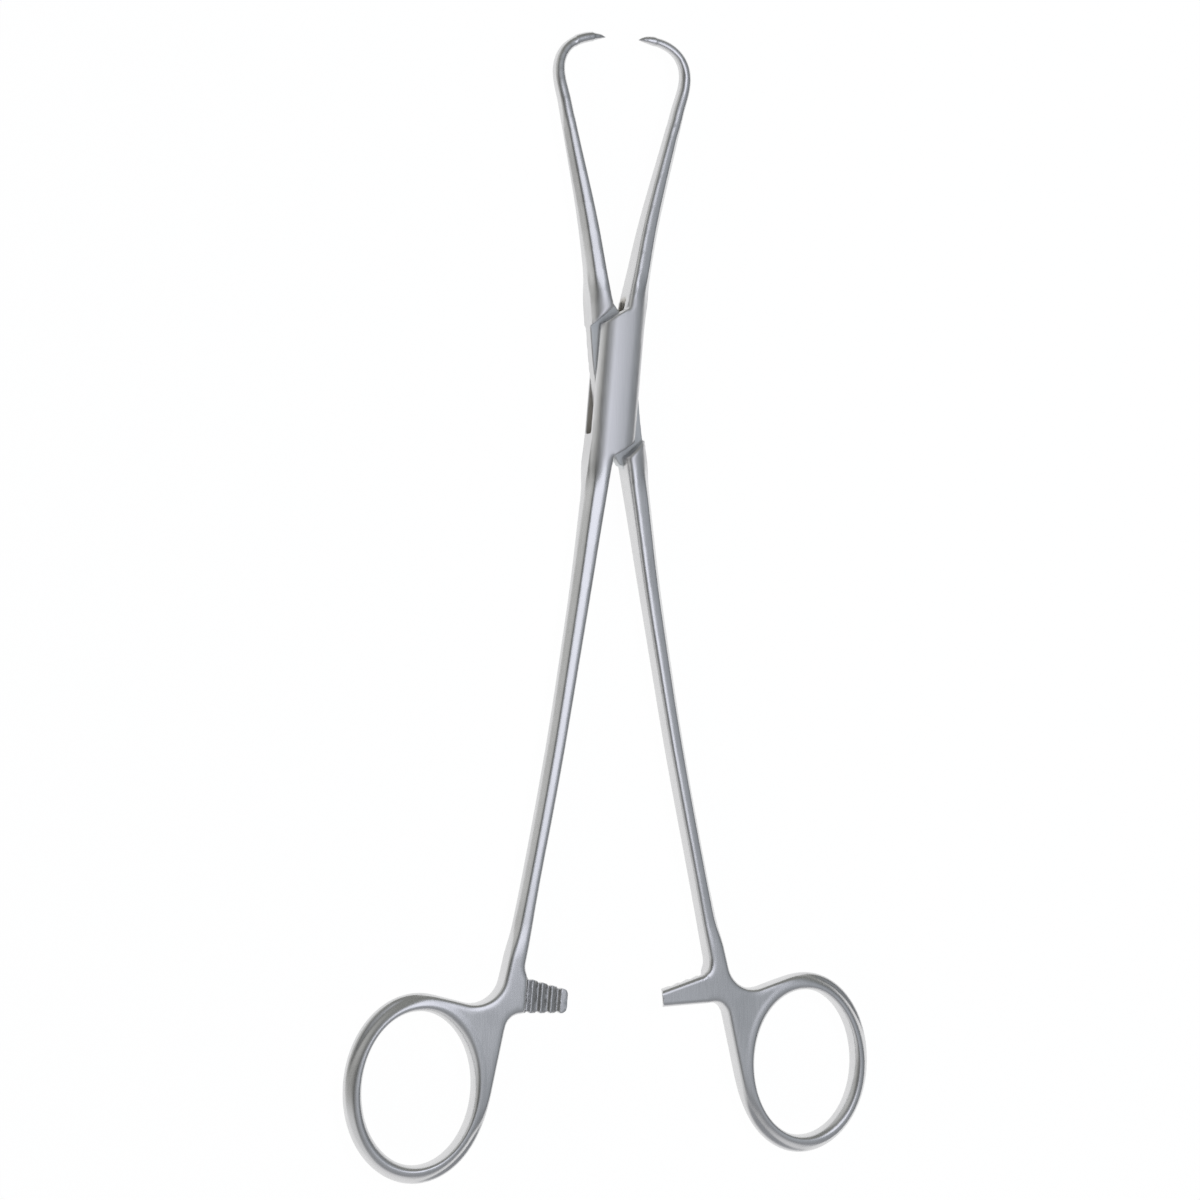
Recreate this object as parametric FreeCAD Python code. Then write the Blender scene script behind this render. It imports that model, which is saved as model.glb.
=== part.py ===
import FreeCAD, Part
import math
import os

# Tenaculum forceps with a box lock, lying on the back of the lock.
# Millimetres. The origin is on the pivot axis at the back of the lock, +Y points to the jaws.
# Both halves are drawn with the lock closed and the middle of their thickness at z = 0.
# They are then swung open to the rest pose and lifted onto z = 0.

# lock
lock_width = 10.4
lock_thickness = 7.0
front_wall = 2.8
back_wall = 1.6
wall_clearance = 0.05
end_clearance = 0.3
tenon_side_step = 0.1
wall_end_outer = 12.4
wall_end_inner = 16.8
wall_end_inner_x = 1.0
slot_end_outer = 11.2
slot_end_inner = 18.8
slot_end_inner_x = 0.5
rest_half_angle = 5.25

# rivet
rivet_diameter = 3.2
rivet_running_clearance = 0.05

# edges of the limbs
edge_radius = 1.15

# shank: distance below the pivot, distance of its middle from the closed axis, width
shank_stations = [
    (2.0, 2.45, 5.5), (12.0, 2.5, 5.4), (19.3, 2.9, 5.35), (30.0, 3.5, 5.05), (43.6, 4.25, 4.65),
    (61.1, 5.55, 4.3), (78.6, 7.0, 4.05), (95.9, 8.8, 3.95), (113.3, 10.8, 4.0), (126.2, 12.4, 4.45),
]
shank_thickness = [(2.0, 7.0), (14.0, 7.0), (24.0, 6.4), (43.6, 5.0), (60.0, 4.65)]
handle_thickness = 4.6
handle_start = 80.0

# finger ring
ring_x = 32.4
ring_below_pivot = 154.15
ring_hole_width = 25.4
ring_hole_length = 32.6
ring_band = 3.8
ring_lean = rest_half_angle
ring_neck_x = 16.3
ring_neck_above_middle = 17.15
ring_neck_radius = 6.5

# ratchet arms
arm_tip_x = -1.0
arm_root_x = 10.7
arm_bottom_x = 13.4
arm_bottom_below = 137.7
arm_top_radius = 3.0
arm_bottom_radius = 3.5
arm_tip_radius = 1.3
toothed_arm_tip = (132.1, 137.1)
plain_arm_tip = (133.3, 136.6)
arm_rise = 2.6
plain_arm_overhang = 0.95
plain_arm_spare = 1.6
arm_gap = 0.2
tooth_count = 4
tooth_pitch = 2.35
tooth_depth = 0.85
tooth_back = 0.3
tooth_land = 1.7
tooth_crest = 0.35
nick_radius = 0.4
nick_outside = 0.1

# jaw: distance above the pivot, distance of its middle from the closed axis, width
jaw_stations = [
    (2.0, 2.45, 5.5), (12.0, 2.5, 5.4), (17.0, 2.7, 5.15), (23.2, 3.2, 4.75), (32.2, 3.95, 4.4),
    (41.2, 5.05, 4.0), (50.4, 6.45, 3.6), (60.0, 7.85, 3.1),
]
jaw_thickness = [(2.0, 7.0), (14.0, 7.0), (23.2, 6.2), (32.2, 5.1), (41.2, 4.3), (50.4, 3.65), (60.0, 3.2)]
jaw_lean = 1.8
jaw_lean_start = 12.0

# hook: distance above the pivot, distance from the closed axis, diameter, share of the sideways set
hook_stations = [
    (60.0, 7.85, 3.1, 0.0), (64.0, 8.45, 3.0, 0.1), (67.4, 8.85, 2.9, 0.3), (70.6, 8.3, 2.75, 0.6),
    (73.4, 6.4, 2.5, 0.85), (75.1, 3.5, 2.3, 1.0), (75.75, 0.3, 2.1, 1.0), (75.75, -2.0, 1.5, 1.0),
]
hook_tip = (75.35, -4.0)
hook_side_set = 1.2
hook_corner_share = (0.36, 0.47)
hook_round_from = 3

# how far a cutting block stands past what it cuts, and half the size of one that spans the whole lock
cut_margin = 1.0
slot_overrun = 2.0
reach = 40.0

# slack for telling edges apart
same_place = 0.01
end_slack = 0.05
rim_height = 0.5
hook_joint = 0.3

half_thickness = lock_thickness / 2
half_width = lock_width / 2
slot_floor = back_wall - half_thickness
slot_roof = half_thickness - front_wall


def at(x, y, z=0.0):
    return FreeCAD.Vector(x, y, z)


def spline(points, first=None, last=None):
    curve = Part.BSplineCurve()
    if first is None:
        curve.interpolate(points)
    else:
        curve.interpolate(Points=points, InitialTangent=first, FinalTangent=last)
    return curve


def prism(edges, low, high):
    wire = Part.Wire(Part.__sortEdges__(edges))
    face = Part.Face(wire)
    face.translate(at(0, 0, low))
    return face.extrude(at(0, 0, high - low))


def polygon(points, low, high):
    corners = [at(x, y) for x, y in points]
    return prism(Part.makePolygon(corners + corners[:1]).Edges, low, high)


def turned(points):
    # an outline that is the same after half a turn about the pivot
    return points + [(-x, -y) for x, y in points]


def sides(line, widths):
    # points on both sides of a middle line, half the width away from it
    left = []
    right = []
    for i, point in enumerate(line):
        along = line[min(i + 1, len(line) - 1)] - line[max(i - 1, 0)]
        across = at(-along.y, along.x) / along.Length
        left.append(point + across * (widths[i] / 2))
        right.append(point - across * (widths[i] / 2))
    return left, right


def thickness_block(stations, sign, end=None):
    # solid between two mirrored curves that give the thickness along Y
    top = [at(0, sign * y, t / 2) for y, t in stations]
    low = [at(0, sign * y, -t / 2) for y, t in stations]
    if end:
        run = at(0, sign, 0)
        extra = [at(0, sign * end, handle_thickness / 2), at(0, sign * end, -handle_thickness / 2)]
        top.append(at(0, sign * handle_start, handle_thickness / 2))
        low.append(at(0, sign * handle_start, -handle_thickness / 2))
        upper = [spline(top, run, run).toShape(), Part.makeLine(top[-1], extra[0])]
        lower = [spline(low, run, run).toShape(), Part.makeLine(low[-1], extra[1])]
        ends = [Part.makeLine(extra[0], extra[1])]
    else:
        upper = [spline(top).toShape()]
        lower = [spline(low).toShape()]
        ends = [Part.makeLine(top[-1], low[-1])]
    ends.append(Part.makeLine(top[0], low[0]))
    face = Part.Face(Part.Wire(Part.__sortEdges__(upper + lower + ends)))
    face.translate(at(-reach * 2, 0, 0))
    return face.extrude(at(reach * 4, 0, 0))


def upright_edges(solid, x, y):
    # the upright edges that stand at one corner of the outline
    found = []
    for edge in solid.Edges:
        middle = edge.CenterOfMass
        level = abs(edge.Vertexes[0].X - edge.Vertexes[-1].X) + abs(edge.Vertexes[0].Y - edge.Vertexes[-1].Y)
        if level < same_place and math.hypot(middle.x - x, middle.y - y) < same_place:
            found.append(edge)
    return found


def rim_edges(solid, low_y, high_y):
    # edges of the front and back faces, without the ones that close the ends
    found = []
    for edge in solid.Edges:
        box = edge.BoundBox
        upright = box.ZLength > rim_height and max(box.XLength, box.YLength) < same_place
        on_end = box.YMax < low_y + end_slack or box.YMin > high_y - end_slack
        if not upright and not on_end and abs(edge.CenterOfMass.z) > rim_height:
            found.append(edge)
    return found


def ring_frame(x, y):
    # a place given from the middle of the ring along its own axes
    angle = math.radians(-ring_lean)
    return at(
        ring_x + x * math.cos(angle) - y * math.sin(angle),
        -ring_below_pivot + x * math.sin(angle) + y * math.cos(angle),
    )


def ring_ellipse(width, length):
    return Part.Ellipse(ring_frame(0, length / 2), ring_frame(-width / 2, 0), ring_frame(0, 0))


def ring_tangent(point, width, length, side):
    # where a line from a point outside the ring touches its outline
    angle = math.radians(ring_lean)
    dx = point.x - ring_x
    dy = point.y + ring_below_pivot
    u = (dx * math.cos(angle) - dy * math.sin(angle)) / (width / 2)
    v = (dx * math.sin(angle) + dy * math.cos(angle)) / (length / 2)
    turn = math.atan2(v, u) + side * math.acos(1 / math.hypot(u, v))
    return ring_frame(width / 2 * math.cos(turn), length / 2 * math.sin(turn))


def handle(arm_tip, tip_x):
    # shank, ratchet arm and finger ring of one half, on the +X side
    line = [at(x, -y) for y, x, w in shank_stations]
    outer, inner = sides(line, [w for y, x, w in shank_stations])
    root = at(arm_root_x, arm_rise - arm_tip[0])
    neck = at(ring_neck_x, ring_neck_above_middle - ring_below_pivot)
    tip_top = at(tip_x, -arm_tip[0])
    tip_low = at(tip_x, -arm_tip[1])
    arm_low = at(arm_bottom_x, -arm_bottom_below)
    width = ring_hole_width + 2 * ring_band
    length = ring_hole_length + 2 * ring_band
    upper_touch = ring_tangent(neck, width, length, -1)
    lower_touch = ring_tangent(arm_low, width, length, 1)
    ring = ring_ellipse(width, length)
    start = ring.parameter(lower_touch)
    finish = ring.parameter(upper_touch)
    if finish < start:
        finish += 2 * math.pi
    edges = [
        spline(inner + [root]).toShape(),
        Part.makeLine(root, tip_top),
        Part.makeLine(tip_top, tip_low),
        Part.makeLine(tip_low, arm_low),
        Part.makeLine(arm_low, lower_touch),
        ring.toShape(start, finish),
        Part.makeLine(upper_touch, neck),
        spline(outer + [neck]).toShape(),
        Part.makeLine(outer[0], inner[0]),
    ]
    body = prism(edges, -half_thickness, half_thickness)
    corners = [
        (root, arm_top_radius), (neck, ring_neck_radius), (arm_low, arm_bottom_radius),
        (tip_top, arm_tip_radius), (tip_low, arm_tip_radius),
    ]
    for corner, radius in corners:
        body = body.makeFillet(radius, upright_edges(body, corner.x, corner.y))
    hole = prism([ring_ellipse(ring_hole_width, ring_hole_length).toShape()], -half_thickness, half_thickness)
    end = ring_below_pivot + length
    body = body.cut(hole).common(thickness_block(shank_thickness, -1, end))
    return body.makeFillet(edge_radius, rim_edges(body, -end, -shank_stations[0][0]))


def cut_teeth(half, face_z):
    # take one side off the arm of a half whose shank is on the +X side, leaving saw teeth
    # each tooth falls away to the tip from a narrow crest and has its steep face to the root
    low = -arm_bottom_below - cut_margin
    high = arm_rise - toothed_arm_tip[0] + arm_top_radius
    outside = arm_tip_x - cut_margin
    depth = math.copysign(tooth_depth, face_z)
    points = [at(outside, 0, face_z)]
    for i in range(tooth_count):
        edge = arm_tip_x + tooth_land + i * tooth_pitch
        points.append(at(edge, 0, face_z))
        points.append(at(edge + tooth_back, 0, face_z + depth))
        points.append(at(edge + tooth_pitch - tooth_crest, 0, face_z))
    far = face_z - math.copysign(half_thickness, depth)
    points.append(at(points[-1].x, 0, far))
    points.append(at(outside, 0, far))
    face = Part.Face(Part.makePolygon(points + points[:1]))
    face.translate(at(0, low, 0))
    return half.cut(face.extrude(at(0, high - low, 0)))


def cut_plain_end(half):
    # cut the plain arm to length with a leaning end, its front edge furthest out
    lean = plain_arm_overhang / (handle_thickness / 2)
    far = arm_tip_x - reach
    points = [
        at(arm_tip_x - lean * half_thickness, 0, half_thickness),
        at(arm_tip_x + lean * half_thickness, 0, -half_thickness),
        at(far, 0, -half_thickness), at(far, 0, half_thickness),
    ]
    face = Part.Face(Part.makePolygon(points + points[:1]))
    low = -arm_bottom_below - cut_margin
    face.translate(at(0, low, 0))
    high = arm_rise - plain_arm_tip[0] + arm_top_radius
    return half.cut(face.extrude(at(0, high - low, 0)))


def cut_nicks(half, arm_tip):
    # small round nicks in both edges of the arm, one beside the foot of each tooth
    edges = [
        (at(arm_tip_x, -arm_tip[0]), at(arm_root_x, arm_rise - arm_tip[0]), 1),
        (at(arm_tip_x, -arm_tip[1]), at(arm_bottom_x, -arm_bottom_below), -1),
    ]
    nicks = []
    for start, end, side in edges:
        run = end - start
        for i in range(tooth_count):
            x = arm_tip_x + tooth_land + i * tooth_pitch + tooth_back
            y = start.y + run.y * (x - start.x) / run.x + side * nick_outside
            nicks.append(Part.makeCylinder(nick_radius, lock_thickness, at(x, y, -half_thickness)))
    return half.cut(nicks)


def section(centre, along, size, corner_share):
    # a square with rounded corners, set across the hook
    across = along.cross(at(0, 0, 1)).normalize()
    up = at(0, 0, 1)
    r = size * corner_share
    s = size / 2
    k = s - r * (1 - math.sqrt(0.5))
    flats = [((s, -s + r), (s, s - r)), ((s - r, s), (-s + r, s)), ((-s, s - r), (-s, -s + r)),
             ((-s + r, -s), (s - r, -s))]
    middles = [(k, k), (-k, k), (-k, -k), (k, -k)]

    def place(p):
        return centre + across * p[0] + up * p[1]

    edges = []
    for i in range(4):
        edges.append(Part.makeLine(place(flats[i][0]), place(flats[i][1])))
        following = flats[(i + 1) % 4][0]
        edges.append(Part.Arc(place(flats[i][1]), place(middles[i]), place(following)).toShape())
    return Part.Wire(edges)


def leaned(x, y, lean):
    return x + math.tan(math.radians(lean)) * max(0.0, y - jaw_lean_start)


def jaw(lean, side_set):
    # jaw with its hook, on the +X side
    line = [at(leaned(x, y, lean), y) for y, x, w in jaw_stations]
    left, right = sides(line, [w for y, x, w in jaw_stations])
    edges = [
        spline(left).toShape(),
        spline(right).toShape(),
        Part.makeLine(left[0], right[0]),
        Part.makeLine(left[-1], right[-1]),
    ]
    body = prism(edges, -half_thickness, half_thickness)
    body = body.common(thickness_block(jaw_thickness, 1))
    body = body.makeFillet(edge_radius, rim_edges(body, jaw_stations[0][0], jaw_stations[-1][0] - hook_joint))

    path = [at(leaned(x, y, lean), y, side_set * share) for y, x, d, share in hook_stations]
    tip = at(leaned(hook_tip[1], hook_tip[0], lean), hook_tip[0], side_set)
    curve = spline(path + [tip])
    wires = []
    square, rounded = hook_corner_share
    for i, point in enumerate(path):
        along = curve.tangent(curve.parameter(point))[0]
        if i == 0:
            along = line[-1] - line[-2]
        corner = square + (rounded - square) * min(1.0, i / hook_round_from)
        wires.append(section(point, along.normalize(), hook_stations[i][2], corner))
    hook = Part.makeLoft(wires + [Part.Vertex(tip)], True, False)
    return body.fuse(hook)


def mirrored(shape):
    return shape.mirror(at(0, 0), at(1, 0, 0))


def wall_band(clearance):
    # the stretch between the slanted ends of the lock walls, wider than the lock
    slope = (wall_end_inner - wall_end_outer) / (wall_end_inner_x + half_width)
    rise = wall_end_outer + slope * half_width + clearance * math.hypot(1, slope)
    return turned([(reach, rise + slope * reach), (-reach, rise - slope * reach)])


def slot_outline(clearance, width):
    # the stretch that the tenon fills, between the slanted ends of the slot
    slope = (slot_end_inner - slot_end_outer) / (half_width - slot_end_inner_x)
    drop = clearance * math.hypot(1, slope)
    outer = slot_end_outer - slope * (width - half_width) - drop
    inner = slot_end_inner - drop
    return turned([(width, outer), (slot_end_inner_x, inner), (-width, inner)])


def swung(shape, degrees):
    shape.rotate(at(0, 0), at(0, 0, 1), degrees)
    shape.translate(at(0, 0, half_thickness))
    return shape.removeSplitter()


def box_half():
    block = Part.makeBox(lock_width, 2 * reach, lock_thickness, at(-half_width, -reach, -half_thickness))
    long_edges = [e for e in block.Edges if e.BoundBox.YLength > reach]
    block = block.makeFillet(edge_radius, long_edges)
    block = block.common(polygon(wall_band(0.0), -half_thickness, half_thickness))
    body = block.fuse([jaw(jaw_lean, hook_side_set), mirrored(handle(toothed_arm_tip, arm_tip_x))])
    slot = polygon(slot_outline(0.0, half_width + slot_overrun), slot_floor, slot_roof)
    bore = Part.makeCylinder(rivet_diameter / 2, lock_thickness, at(0, 0, -half_thickness))
    body = body.cut([slot, bore])
    body = cut_nicks(cut_teeth(mirrored(body), -arm_gap / 2), toothed_arm_tip)
    body = mirrored(body)
    return swung(body, -rest_half_angle)


def tenon_half():
    tip_x = arm_tip_x - plain_arm_overhang - plain_arm_spare
    limbs = mirrored(jaw(-jaw_lean, -hook_side_set)).fuse(handle(plain_arm_tip, tip_x))
    band = wall_band(end_clearance)
    tenon_low = slot_floor + wall_clearance
    tenon_high = slot_roof - wall_clearance
    above = polygon(band, tenon_high, half_thickness + cut_margin)
    below = polygon(band, -half_thickness - cut_margin, tenon_low)
    plate = polygon(slot_outline(end_clearance, half_width - tenon_side_step), tenon_low, tenon_high)
    bore_radius = rivet_diameter / 2 + rivet_running_clearance
    bore = Part.makeCylinder(bore_radius, lock_thickness, at(0, 0, -half_thickness))
    body = limbs.cut([above, below]).fuse(plate).cut(bore)
    body = cut_teeth(cut_plain_end(body), arm_gap / 2)
    return swung(body, rest_half_angle)


def pivot_pin():
    return Part.makeCylinder(rivet_diameter / 2, lock_thickness, at(0, 0, 0))


os.makedirs("parts", exist_ok=True)
for name, shape in (("box_half", box_half()), ("tenon_half", tenon_half()), ("pivot_pin", pivot_pin())):
    print(name, shape.isValid(), len(shape.Solids), round(shape.Volume, 1), shape.BoundBox)
    shape.exportStep("parts/" + name + ".step")
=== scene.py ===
import math

import bmesh
import bpy
from mathutils import Matrix, Vector


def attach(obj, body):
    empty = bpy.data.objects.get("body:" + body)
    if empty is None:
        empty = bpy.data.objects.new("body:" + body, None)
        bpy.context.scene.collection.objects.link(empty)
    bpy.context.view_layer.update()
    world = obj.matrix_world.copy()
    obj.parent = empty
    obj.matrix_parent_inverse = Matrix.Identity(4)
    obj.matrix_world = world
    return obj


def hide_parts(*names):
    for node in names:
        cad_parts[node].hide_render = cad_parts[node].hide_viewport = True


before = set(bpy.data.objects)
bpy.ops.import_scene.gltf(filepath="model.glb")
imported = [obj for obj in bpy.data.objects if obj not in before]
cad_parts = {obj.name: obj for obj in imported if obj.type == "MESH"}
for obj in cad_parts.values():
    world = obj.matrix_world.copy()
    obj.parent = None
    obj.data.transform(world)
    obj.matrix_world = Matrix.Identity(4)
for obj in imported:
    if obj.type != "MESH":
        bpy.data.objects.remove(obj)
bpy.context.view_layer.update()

mm = 0.001


# shader nodes

class Val:
    # a number socket that takes part in plain arithmetic
    def __init__(self, net, socket):
        self.net = net
        self.socket = socket

    def maths(self, operation, first, second=None):
        values = {0: first}
        if second is not None:
            values[1] = second
        node = self.net.add("ShaderNodeMath", {"operation": operation}, values)
        return Val(self.net, node.outputs[0])

    def __add__(self, other):
        return self.maths("ADD", self, other)

    def __radd__(self, other):
        return self.maths("ADD", other, self)

    def __sub__(self, other):
        return self.maths("SUBTRACT", self, other)

    def __rsub__(self, other):
        return self.maths("SUBTRACT", other, self)

    def __mul__(self, other):
        return self.maths("MULTIPLY", self, other)

    def __rmul__(self, other):
        return self.maths("MULTIPLY", other, self)

    def __abs__(self):
        return self.maths("ABSOLUTE", self)

    def clamped(self):
        return self.maths("MINIMUM", self.maths("MAXIMUM", self, 0.0), 1.0)


class Net:
    # the node tree of a material or of the world
    def __init__(self, owner):
        owner.use_nodes = True
        self.tree = owner.node_tree
        self.tree.nodes.clear()

    def add(self, kind, settings=None, values=None):
        node = self.tree.nodes.new(kind)
        for name, value in (settings or {}).items():
            setattr(node, name, value)
        for key, value in (values or {}).items():
            socket = value.socket if isinstance(value, Val) else value
            if isinstance(socket, bpy.types.NodeSocket):
                self.tree.links.new(socket, node.inputs[key])
            else:
                node.inputs[key].default_value = socket
        return node

    def val(self, socket):
        return Val(self, socket)

    def ramp(self, value, low, high):
        # 0 below low, 1 above high, eased between them
        settings = {"interpolation_type": "SMOOTHSTEP"}
        values = {"Value": value, "From Min": low, "From Max": high}
        return self.val(self.add("ShaderNodeMapRange", settings, values).outputs["Result"])

    def stops(self, value, stops):
        # a colour ramp with the given places and colours
        node = self.add("ShaderNodeValToRGB", {}, {0: value})
        ramp = node.color_ramp
        for stop in stops[1:-1]:
            ramp.elements.new(stop[0])
        for element, (place, colour) in zip(ramp.elements, stops):
            element.position = place
            element.color = (*colour, 1.0)
        return node.outputs[0]

    def mix(self, factor, first, second):
        # 0, 6 and 7 are the factor and the two colours of a Mix node, 2 is its colour output
        node = self.add("ShaderNodeMix", {"data_type": "RGBA"}, {0: factor, 6: first, 7: second})
        return node.outputs[2]


# satin steel

steelLook = {
    "colour": (0.72, 0.72, 0.725, 1.0),
    "colourDeep": (0.65, 0.65, 0.657, 1.0),
    "slotPaintedShade": (0.60, 0.58, 0.545, 1.0),     # painted shade inside the box half's lock, a darker brown than the steel
    "tenonPaintedLight": (0.80, 0.82, 0.83, 1.0),     # painted light on the tenon that turns in it, lighter than the steel
    "roughness": 0.27,
    "roughnessSpread": 0.08,
    "polishShares": (0.6, 0.4),     # of the brush lines and of the clouds
    "polishRange": (0.3, 0.7),
    "brushWidth": 0.16 * mm,
    "brushLength": 5.0 * mm,
    "brushDetail": 3.0,
    "cloudSize": 9.0 * mm,
    "cloudDetail": 2.0,
    "grainDepth": 0.0011 * mm,
    "lockRoughness": 0.40,          # the lock is brushed duller than the limbs
    "lockBlend": (15.0 * mm, 21.0 * mm),
    "milledRoughness": 0.55,        # inside the box lock, which no wheel reaches
    "lockLength": (18.0 * mm, 19.5 * mm),
    "slotSide": (4.85 * mm, 5.05 * mm),
    "slotRoof": (4.25 * mm, 4.45 * mm),
    "slotFloor": (1.35 * mm, 1.55 * mm),
}


def satinSteel(name, look, turn, paintedLockShading):
    # fine brush lines along the limbs, with slow clouds in the polish;
    # turn is how far the half is swung from its closed place
    material = bpy.data.materials.new(name)
    net = Net(material)
    place = net.add("ShaderNodeTexCoord").outputs["Object"]
    brush = net.add("ShaderNodeMapping", {}, {
        "Vector": place,
        "Rotation": (0.0, 0.0, turn),
        "Scale": (1 / look["brushWidth"], 1 / look["brushLength"], 1 / look["brushWidth"]),
    })
    lines = net.add("ShaderNodeTexNoise", {}, {
        "Vector": brush.outputs[0], "Scale": 1.0, "Detail": look["brushDetail"],
    })
    streak = net.val(lines.outputs["Fac"])
    clouds = net.add("ShaderNodeTexNoise", {}, {
        "Vector": place, "Scale": 1 / look["cloudSize"], "Detail": look["cloudDetail"],
    })
    cloud = net.val(clouds.outputs["Fac"])
    streakShare, cloudShare = look["polishShares"]
    polish = net.ramp(streak * streakShare + cloud * cloudShare, *look["polishRange"])
    roughness = look["roughness"] + (polish - 0.5) * look["roughnessSpread"]
    parts = net.add("ShaderNodeSeparateXYZ", {}, {0: place})
    across, along, height = [net.val(parts.outputs[axis]) for axis in "XYZ"]
    across = abs(across * math.cos(turn) - along * math.sin(turn))
    along = abs(along)
    locked = 1 - net.ramp(along, *look["lockBlend"])
    roughness = roughness + locked * (look["lockRoughness"] - look["roughness"])
    # inside the lock the steel is rougher, and its colour is painted shade on the box half and
    # painted light on the tenon
    milledWithPaintedLight = 1 - net.ramp(along, *look["lockLength"])
    milledWithPaintedLight = milledWithPaintedLight * (1 - net.ramp(across, *look["slotSide"]))
    milledWithPaintedLight = milledWithPaintedLight * (1 - net.ramp(height, *look["slotRoof"]))
    milledWithPaintedLight = milledWithPaintedLight * net.ramp(height, *look["slotFloor"])
    roughness = roughness + milledWithPaintedLight * (look["milledRoughness"] - look["roughness"])
    steel = net.mix(polish, look["colourDeep"], look["colour"])
    bump = net.add("ShaderNodeBump", {}, {
        "Height": streak, "Distance": look["grainDepth"], "Strength": 1.0,
    })
    shader = net.add("ShaderNodeBsdfPrincipled", {}, {
        # the inside of the lock takes the given painted shading colour
        "Base Color": net.mix(milledWithPaintedLight, steel, paintedLockShading),
        "Roughness": roughness,
        "Metallic": 1.0,
        "Normal": bump.outputs[0],
    })
    net.add("ShaderNodeOutputMaterial", {}, {"Surface": shader.outputs[0]})
    return material


# the two forged halves

skinLook = {
    "swing": math.radians(5.25),    # each half stands this far open at rest
    "middle": 3.5 * mm,             # height of the middle plane
    "voxel": 0.26 * mm,
    "joinDistance": 0.001 * mm,
    "triangleLimit": 190000,
    "fineCuts": 2,                  # finer faces on the ratchet arms
    # smoothing passes of each region, and how far a pass goes
    "softPasses": 2,
    "limbPasses": 12,
    "ringPasses": 14,
    "hookPasses": 16,
    "seamPasses": 16,
    "lastPasses": 2,
    "soften": 0.5,
    # where the regions lie, in the closed pose
    "lockEnd": 18.0 * mm,
    "armTop": -128.0 * mm,
    "armBottom": -139.5 * mm,
    "armReach": 9.5 * mm,
    "ringInner": 19.0 * mm,
    "ringTop": -141.0 * mm,
    "hookStart": 58.0 * mm,
    "tipReach": 2.2 * mm,           # the sharp end of a hook, this near the closed axis
    "tipBottom": 70.0 * mm,
    "seamStart": 9.0 * mm,
    "seamSpare": 4.0 * mm,          # a seam runs on this far past the lock
    "seamHeight": 2.7 * mm,
    # how far the worked faces fall, as shares of the half width
    "lockCrown": 0.09,
    "lockRim": 0.16,
    "lockHalf": 5.2 * mm,
    "frontWall": (0.22, 0.95),      # the slot keeps its faces, only its walls are crowned
    "backWall": (0.56, 0.98),
    "backShare": 0.5,
    "limbCrown": 0.05,
    "limbSlope": 0.11,
    "outerFall": 0.28,
    "outerEdge": 0.35,
    "outerRound": 0.30,
    "crownTop": 62.0 * mm,
    "crownBottom": -126.0 * mm,
    "crownFade": 8.0 * mm,
    "slice": 1.0 * mm,
    "evenSlices": 3,                # slices on each side that a slice is evened out with
    # the finger rings
    "ringCentre": (32.4 * mm, -154.15 * mm),
    "ringHole": (12.7 * mm, 16.3 * mm),
    "ringBand": 3.8 * mm,
    "ringRound": 0.7 * mm,
    "handleHalf": 2.3 * mm,
    "ringRidge": -0.45,             # nearer the hole, which is -1, than the outer side, 1
    "ridgeCurve": 1.5,
    "ringFall": 1.0 * mm,
    "holeFall": 0.4 * mm,
    "webFall": 0.10 * mm,
    "webRise": 0.5,                 # share of the band over which the web sinks
    "webAngle": math.radians(140.0),
    "webSpread": math.radians(35.0),
    "webBlend": math.radians(40.0),
    "webReach": 9.0 * mm,
}


def eased(value, low, high):
    share = min(1.0, max(0.0, (value - low) / (high - low)))
    return share * share * (3 - 2 * share)


def mergedCopy(name, nodes, look):
    # one welded mesh of the given CAD nodes
    form = bmesh.new()
    for node in nodes:
        form.from_mesh(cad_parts[node].data)
    bmesh.ops.remove_doubles(form, verts=form.verts, dist=look["joinDistance"])
    mesh = bpy.data.meshes.new(name)
    form.to_mesh(mesh)
    form.free()
    piece = bpy.data.objects.new(name, mesh)
    bpy.context.scene.collection.objects.link(piece)
    return piece


def applied(piece):
    # the mesh with its modifiers, as a bmesh
    bpy.context.view_layer.update()
    seen = piece.evaluated_get(bpy.context.evaluated_depsgraph_get())
    form = bmesh.new()
    form.from_mesh(seen.to_mesh())
    seen.to_mesh_clear()
    piece.modifiers.clear()
    return form


def onArm(spot, look):
    return look["armBottom"] < spot.y < look["armTop"] and abs(spot.x) < look["armReach"]


def nearTip(spot, look):
    return spot.y > look["tipBottom"] and abs(spot.x) < look["tipReach"]


def onRing(spot, side, look):
    return spot.x * side > look["ringInner"] or spot.y < look["ringTop"]


def onLimb(spot, side, look):
    free = abs(spot.y) > look["lockEnd"]
    return free and not onRing(spot, side, look) and not nearTip(spot, look)


def onSeam(spot, side, look):
    # where the lock walls run into the jaw and the shank of their own half
    outside = abs(spot.z - look["middle"]) > look["seamHeight"]
    ownSide = spot.x * spot.y * side < 0
    end = look["lockEnd"] + look["seamSpare"]
    return outside and ownSide and look["seamStart"] < abs(spot.y) < end


def sliceSpans(spots, look):
    # the width of the limb across each slice of its length
    spans = {}
    for spot in spots:
        crowned = look["crownBottom"] < spot.y < look["crownTop"]
        if onArm(spot, look) or not crowned:
            continue
        key = round(spot.y / look["slice"])
        lowX, highX, lowZ, highZ = spans.get(key, (spot.x, spot.x, spot.z, spot.z))
        spans[key] = (
            min(lowX, spot.x), max(highX, spot.x), min(lowZ, spot.z), max(highZ, spot.z),
        )
    # a limb widens and shifts gently, so each slice is evened out with its neighbours
    reach = look["evenSlices"]
    even = {}
    for key in spans:
        near = [spans[k] for k in range(key - reach, key + reach + 1) if k in spans]
        even[key] = [sum(values) / len(near) for values in zip(*near)]
    return even


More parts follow.
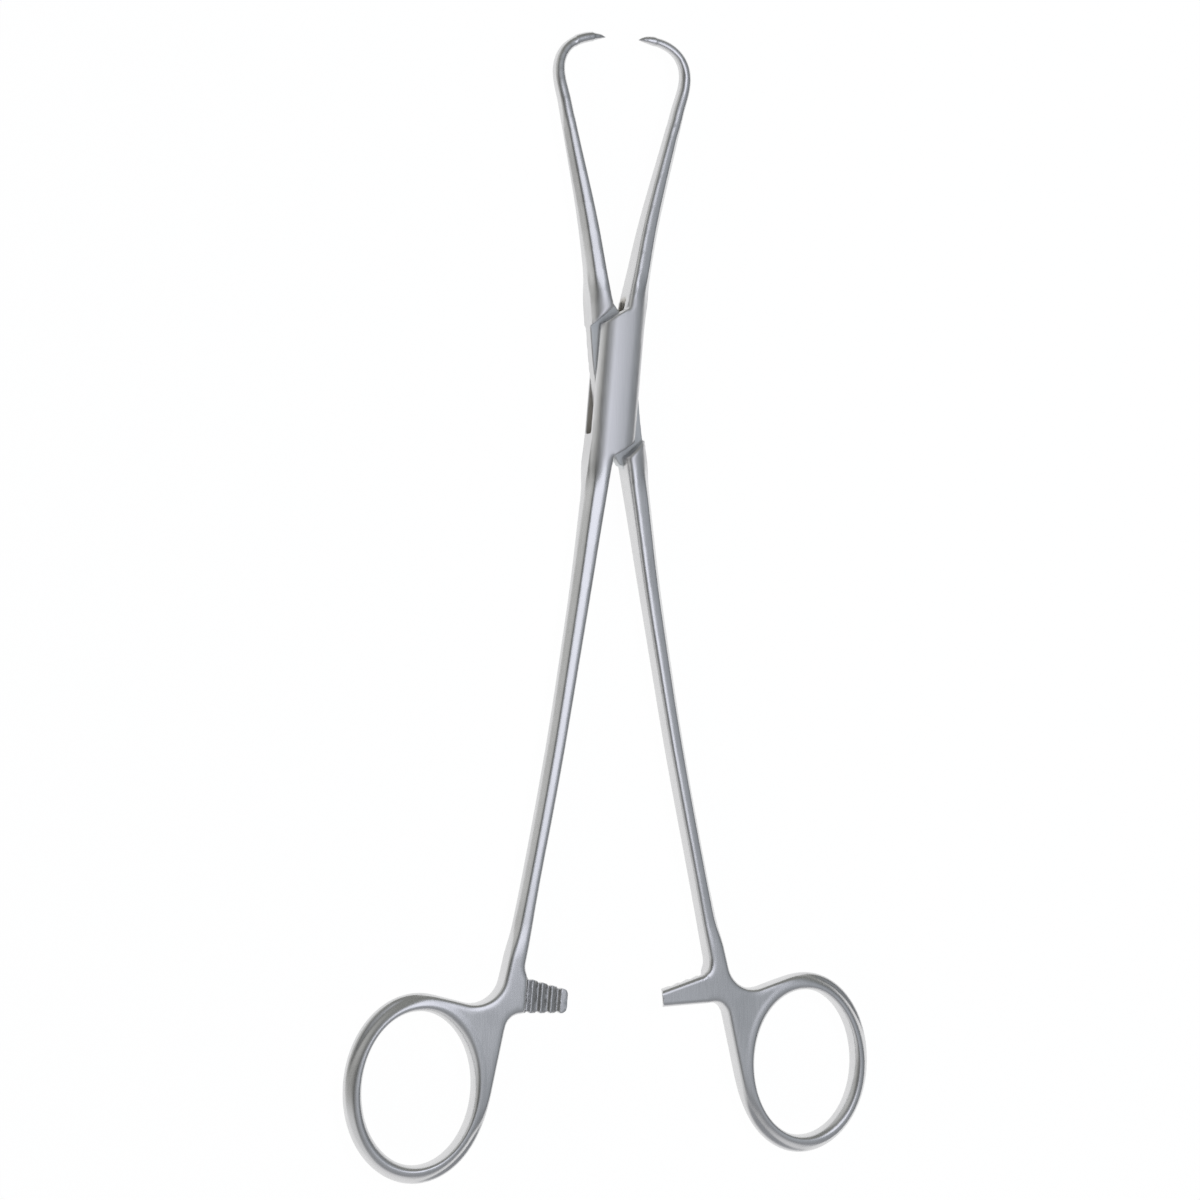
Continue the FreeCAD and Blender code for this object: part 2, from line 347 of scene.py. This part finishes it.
def spanAt(spans, y, look):
    # the span at any length, between the two nearest slices
    place = y / look["slice"]
    lower = math.floor(place)
    share = place - lower
    first = spans.get(lower)
    second = spans.get(lower + 1)
    if first is None or second is None:
        return first or second
    return [a * (1 - share) + b * share for a, b in zip(first, second)]


def pastEdge(across, look):
    # 0 up to where the rounding of a side starts, 1 at the side
    return max(0.0, (across - look["outerEdge"]) / (1 - look["outerEdge"]))


def limbShift(spot, spans, look):
    # how far a point of a limb moves from its CAD place, across and down:
    # the lock is crowned, and a shank or jaw slopes down to its rounded outer side
    span = spanAt(spans, spot.y, look)
    if span is None or onArm(spot, look):
        return 0.0, 0.0
    lowX, highX, lowZ, highZ = span
    locked = 1 - eased(abs(spot.y), look["lockEnd"], look["lockEnd"] + look["crownFade"])
    free = 1 - locked
    half = (highX - lowX) / 2 * free + look["lockHalf"] * locked
    middle = (lowX + highX) / 2
    outer = math.copysign(1.0, middle)
    limbAcross = max(-1.0, min(1.0, (spot.x - middle) / (highX - lowX) * 2)) * outer
    lockAcross = min(1.0, abs(spot.x) / look["lockHalf"])
    thick = (highZ - lowZ) / 2 * free + look["middle"] * locked
    lift = (spot.z - (lowZ + highZ) / 2 * free - look["middle"] * locked) / thick
    wall = look["frontWall"] if lift > 0 else look["backWall"]
    hold = min(1.0, abs(lift)) * free + eased(abs(lift), *wall) * locked
    edge = pastEdge(limbAcross, look)
    limb = look["limbSlope"] * (limbAcross + 1) + look["limbCrown"] * limbAcross ** 2
    limb += look["outerFall"] * edge ** 2
    rim = pastEdge(lockAcross, look)
    lock = look["lockCrown"] * lockAcross ** 2 + look["lockRim"] * rim ** 2
    if lift <= 0:
        lock *= look["backShare"]
    ends = eased(spot.y, look["crownBottom"], look["crownBottom"] + look["crownFade"])
    ends *= 1 - eased(spot.y, look["crownTop"] - look["crownFade"], look["crownTop"])
    inward = look["outerRound"] * half * edge * min(1.0, lift * lift) * free * ends
    fall = half * (limb * free + lock * locked) * ends * math.copysign(hold, lift)
    return outer * inward, fall


def ringShift(spot, side, look):
    # how far a point of a ring moves, as a share of the way to its centre, and down:
    # the band falls away from a ridge near the hole to a rounded outer side,
    # and the web lies a little lower than the ridge
    centreX, centreY = look["ringCentre"]
    x = spot.x * side - centreX
    y = spot.y - centreY
    lean = look["swing"]
    x, y = x * math.cos(lean) + y * math.sin(lean), y * math.cos(lean) - x * math.sin(lean)
    holeX, holeY = look["ringHole"]
    size = math.hypot(x, y)
    gap = size * (1 - 1 / math.hypot(x / holeX, y / holeY))
    band = gap / look["ringBand"] * 2 - 1
    lift = max(-1.0, min(1.0, (spot.z - look["middle"]) / look["handleHalf"]))
    turned = math.atan2(y, x) - look["webAngle"]
    off = abs((turned + math.pi) % (2 * math.pi) - math.pi)
    web = 1 - eased(off, look["webSpread"], look["webSpread"] + look["webBlend"])
    ridge = look["ringRidge"]
    curve = look["ridgeCurve"]
    if band < ridge:
        return 0.0, look["holeFall"] * ((ridge - band) / (1 + ridge)) ** curve * lift
    out = (band - ridge) / (1 - ridge)
    rim = look["ringFall"] * min(1.0, out) ** curve
    flat = look["webFall"] * min(1.0, out / look["webRise"]) ** curve
    flat *= 1 - eased(gap, look["ringBand"], look["webReach"])
    inward = look["ringRound"] * min(1.0, max(0.0, band)) * lift * lift * (1 - web)
    return inward / size, (rim + (flat - rim) * web) * lift


def smoothed(form, verts, passes, look):
    for step in range(passes):
        bmesh.ops.smooth_vert(
            form, verts=verts, factor=look["soften"],
            use_axis_x=True, use_axis_y=True, use_axis_z=True,
        )


def forgedSkin(name, nodes, body, side, material, look):
    # an even, softly rounded skin over the CAD solid, as forging and polishing leave it;
    # side is 1 where the finger ring is on the right, -1 where it is on the left
    source = mergedCopy(name + "Source", nodes, look)
    piece = mergedCopy(name, nodes, look)
    remesh = piece.modifiers.new("even", "REMESH")
    remesh.mode = "VOXEL"
    remesh.voxel_size = look["voxel"]
    form = applied(piece)
    closed = Matrix.Rotation(-side * look["swing"], 3, "Z")
    opened = closed.inverted()
    fine = [e for e in form.edges if all(onArm(closed @ v.co, look) for v in e.verts)]
    bmesh.ops.subdivide_edges(form, edges=fine, cuts=look["fineCuts"], use_grid_fill=True)
    form.to_mesh(piece.data)
    form.free()
    cling = piece.modifiers.new("cling", "SHRINKWRAP")
    cling.target = source
    cling.wrap_method = "NEAREST_SURFACEPOINT"
    form = applied(piece)
    spots = {v: closed @ v.co for v in form.verts}
    calm = [v for v in form.verts if not onArm(spots[v], look)]
    rings = [v for v in calm if onRing(spots[v], side, look)]
    limbs = [v for v in calm if onLimb(spots[v], side, look)]
    hooks = [v for v in limbs if spots[v].y > look["hookStart"]]
    seams = [v for v in calm if onSeam(spots[v], side, look)]
    smoothed(form, calm, look["softPasses"], look)
    smoothed(form, limbs, look["limbPasses"], look)
    smoothed(form, rings, look["ringPasses"], look)
    smoothed(form, hooks, look["hookPasses"], look)
    smoothed(form, seams, look["seamPasses"], look)
    spots = {v: closed @ v.co for v in form.verts}
    spans = sliceSpans(spots.values(), look)
    for vertex, spot in spots.items():
        if spot.y > look["crownBottom"]:
            inward, fall = limbShift(spot, spans, look)
            spot = spot - Vector((inward, 0, fall))
        elif not onArm(spot, look):
            share, fall = ringShift(spot, side, look)
            centreX, centreY = look["ringCentre"]
            centre = Vector((side * centreX, centreY, spot.z + fall))
            spot = spot + (centre - spot) * share - Vector((0, 0, fall * (1 + share)))
        vertex.co = opened @ spot
    smoothed(form, limbs + rings, look["lastPasses"], look)
    form.to_mesh(piece.data)
    form.free()
    bpy.data.objects.remove(source)
    triangles = sum(len(face.vertices) - 2 for face in piece.data.polygons)
    thin = piece.modifiers.new("thin", "DECIMATE")
    thin.ratio = min(1.0, look["triangleLimit"] / triangles)
    form = applied(piece)
    for face in form.faces:
        face.smooth = True
    form.to_mesh(piece.data)
    form.free()
    piece.data.materials.clear()
    piece.data.materials.append(material)
    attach(piece, body)
    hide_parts(*nodes)
    print(name, "made with", len(piece.data.polygons), "faces")


# camera

cameraLook = {
    "target": Vector((-3.64, -47.3, 3.5)) * mm,
    "side": math.radians(25.0),
    "below": math.radians(0.69),
    "distance": 651.6 * mm,
    "lens": 89.9,
    "sensor": 36.0,
}


def takeCamera(look):
    side = look["side"]
    below = look["below"]
    level = math.cos(below)
    away = Vector((-math.sin(side) * level, -math.sin(below), math.cos(side) * level))
    data = bpy.data.cameras.new("camera")
    data.lens = look["lens"]
    data.sensor_width = look["sensor"]
    camera = bpy.data.objects.new("camera", data)
    bpy.context.scene.collection.objects.link(camera)
    camera.location = look["target"] + away * look["distance"]
    right = Vector((0, 1, 0)).cross(away).normalized()
    up = away.cross(right)
    turn = Matrix((right, up, away)).transposed()
    camera.rotation_euler = turn.to_euler()
    bpy.context.scene.camera = camera


# light

lightLook = {
    # angle round the long axis from straight above, with its level and colour
    "round": [
        (-180, 0.76, (1.00, 1.00, 0.99)),
        (-120, 0.86, (1.00, 1.00, 0.99)),
        (-84, 0.62, (1.00, 1.00, 0.98)),
        (-62, 0.36, (1.00, 1.00, 0.96)),
        (-46, 0.12, (1.00, 1.00, 0.95)),
        (-32, 0.10, (0.98, 1.00, 0.96)),
        (-14, 0.33, (0.95, 0.98, 1.00)),
        (10, 0.47, (0.93, 0.97, 1.03)),
        (45, 0.40, (0.91, 0.97, 1.04)),
        (70, 0.20, (0.94, 0.98, 1.02)),
        (110, 0.34, (0.97, 0.99, 1.00)),
        (180, 0.76, (1.00, 1.00, 0.99)),
    ],
    "top": (0.26, 0.265, 0.25, 1.0),
    "topRise": (22.0, 48.0),
    "bottom": (0.33, 0.34, 0.36, 1.0),
    "bottomRise": (14.0, 40.0),
    "topLeft": (0.64, 0.645, 0.63, 1.0),
    "leftRise": (3.0, 25.0),
    "bottomLeft": (0.78, 0.785, 0.79, 1.0),
    "capTurn": (-65.0, -20.0),      # the top and bottom are lighter on the bright left
    "foot": (0.85, 0.85, 0.86, 1.0),
    "footRise": (50.0, 80.0),
}


def studio(look):
    # a plain studio, dark where the photographer stands and light round it,
    # which the camera itself sees as white
    world = bpy.data.worlds.new("studio")
    bpy.context.scene.world = world
    net = Net(world)
    direction = net.add("ShaderNodeTexCoord").outputs["Generated"]
    parts = net.add("ShaderNodeSeparateXYZ", {}, {0: direction})
    sideways, along, height = [net.val(parts.outputs[axis]) for axis in "XYZ"]
    toDegrees = 180 / math.pi
    turn = sideways.maths("ARCTAN2", sideways, height) * toDegrees
    rise = along.maths("ARCSINE", along) * toDegrees
    stops = []
    for degrees, level, tint in look["round"]:
        stops.append(((degrees + 180) / 360, [level * part for part in tint]))
    colour = net.stops(turn * (1 / 360) + 0.5, stops)
    cap = net.ramp(turn, *look["capTurn"])
    for away, side, end in ((rise, "topRise", "top"), (rise * -1, "bottomRise", "bottom")):
        colour = net.mix(net.ramp(away, *look[side]) * cap, colour, look[end])
        colour = net.mix(net.ramp(away, *look["leftRise"]) * (1 - cap), colour, look[end + "Left"])
    colour = net.mix(net.ramp(rise * -1, *look["footRise"]), colour, look["foot"])
    seen = net.add("ShaderNodeLightPath").outputs["Is Camera Ray"]
    colour = net.mix(seen, colour, (1.0, 1.0, 1.0, 1.0))
    background = net.add("ShaderNodeBackground", {}, {"Color": colour, "Strength": 1.0})
    net.add("ShaderNodeOutputWorld", {}, {"Surface": background.outputs[0]})


softBoxLook = {
    "place": (95 * mm, 5 * mm, 420 * mm),
    "width": 200 * mm,
    "length": 325 * mm,
    "level": 0.90,
    "colour": (0.965, 0.97, 1.09),
}


def softBox(look):
    # one soft box over the object, which the polished fronts reflect
    data = bpy.data.lights.new("softBox", "AREA")
    data.shape = "RECTANGLE"
    data.size = look["width"]
    data.size_y = look["length"]
    data.energy = look["level"] * math.pi * look["width"] * look["length"]
    data.color = look["colour"]
    lamp = bpy.data.objects.new("softBox", data)
    lamp.location = look["place"]
    lamp.visible_camera = False
    bpy.context.scene.collection.objects.link(lamp)


floorLook = {
    "half": 1500 * mm,
    "gap": 0.02 * mm,           # it lies this far under the object
    "colour": (0.9, 0.9, 0.9, 1.0),
    "plainShare": 0.88,
    "plainLevel": 1.08,
}


def floor(look):
    # a matt white floor, most of it plain white to the camera and in reflections
    form = bmesh.new()
    bmesh.ops.create_grid(form, x_segments=2, y_segments=2, size=look["half"])
    bmesh.ops.translate(form, verts=form.verts, vec=(0, 0, -look["gap"]))
    mesh = bpy.data.meshes.new("floor")
    form.to_mesh(mesh)
    form.free()
    piece = bpy.data.objects.new("floor", mesh)
    bpy.context.scene.collection.objects.link(piece)
    material = bpy.data.materials.new("floor")
    net = Net(material)
    path = net.add("ShaderNodeLightPath")
    seen = net.val(path.outputs["Is Camera Ray"]) + net.val(path.outputs["Is Glossy Ray"])
    seen = seen + net.val(path.outputs["Is Transmission Ray"])
    matt = net.add("ShaderNodeBsdfDiffuse", {}, {"Color": look["colour"]})
    white = net.add("ShaderNodeEmission", {}, {
        "Color": (1.0, 1.0, 1.0, 1.0), "Strength": look["plainLevel"],
    })
    surface = net.add("ShaderNodeMixShader", {}, {
        0: seen.clamped() * look["plainShare"], 1: matt.outputs[0], 2: white.outputs[0],
    })
    net.add("ShaderNodeOutputMaterial", {}, {"Surface": surface.outputs[0]})
    mesh.materials.append(material)


bpy.context.scene.view_settings.view_transform = "Standard"
takeCamera(cameraLook)
print("camera made")
studio(lightLook)
softBox(softBoxLook)
floor(floorLook)
print("light and floor made")
swing = skinLook["swing"]
# inside the lock, the box half is painted darker as shade and the tenon is painted lighter as
# light
boxSteel = satinSteel("steelBoxHalf", steelLook, swing, steelLook["slotPaintedShade"])
tenonSteel = satinSteel("steelTenonHalf", steelLook, -swing, steelLook["tenonPaintedLight"])
print("steel made")
forgedSkin("boxHalf", ["box_half", "pivot_pin"], "box_half", -1, boxSteel, skinLook)
forgedSkin("tenonHalf", ["tenon_half"], "tenon_half", 1, tenonSteel, skinLook)
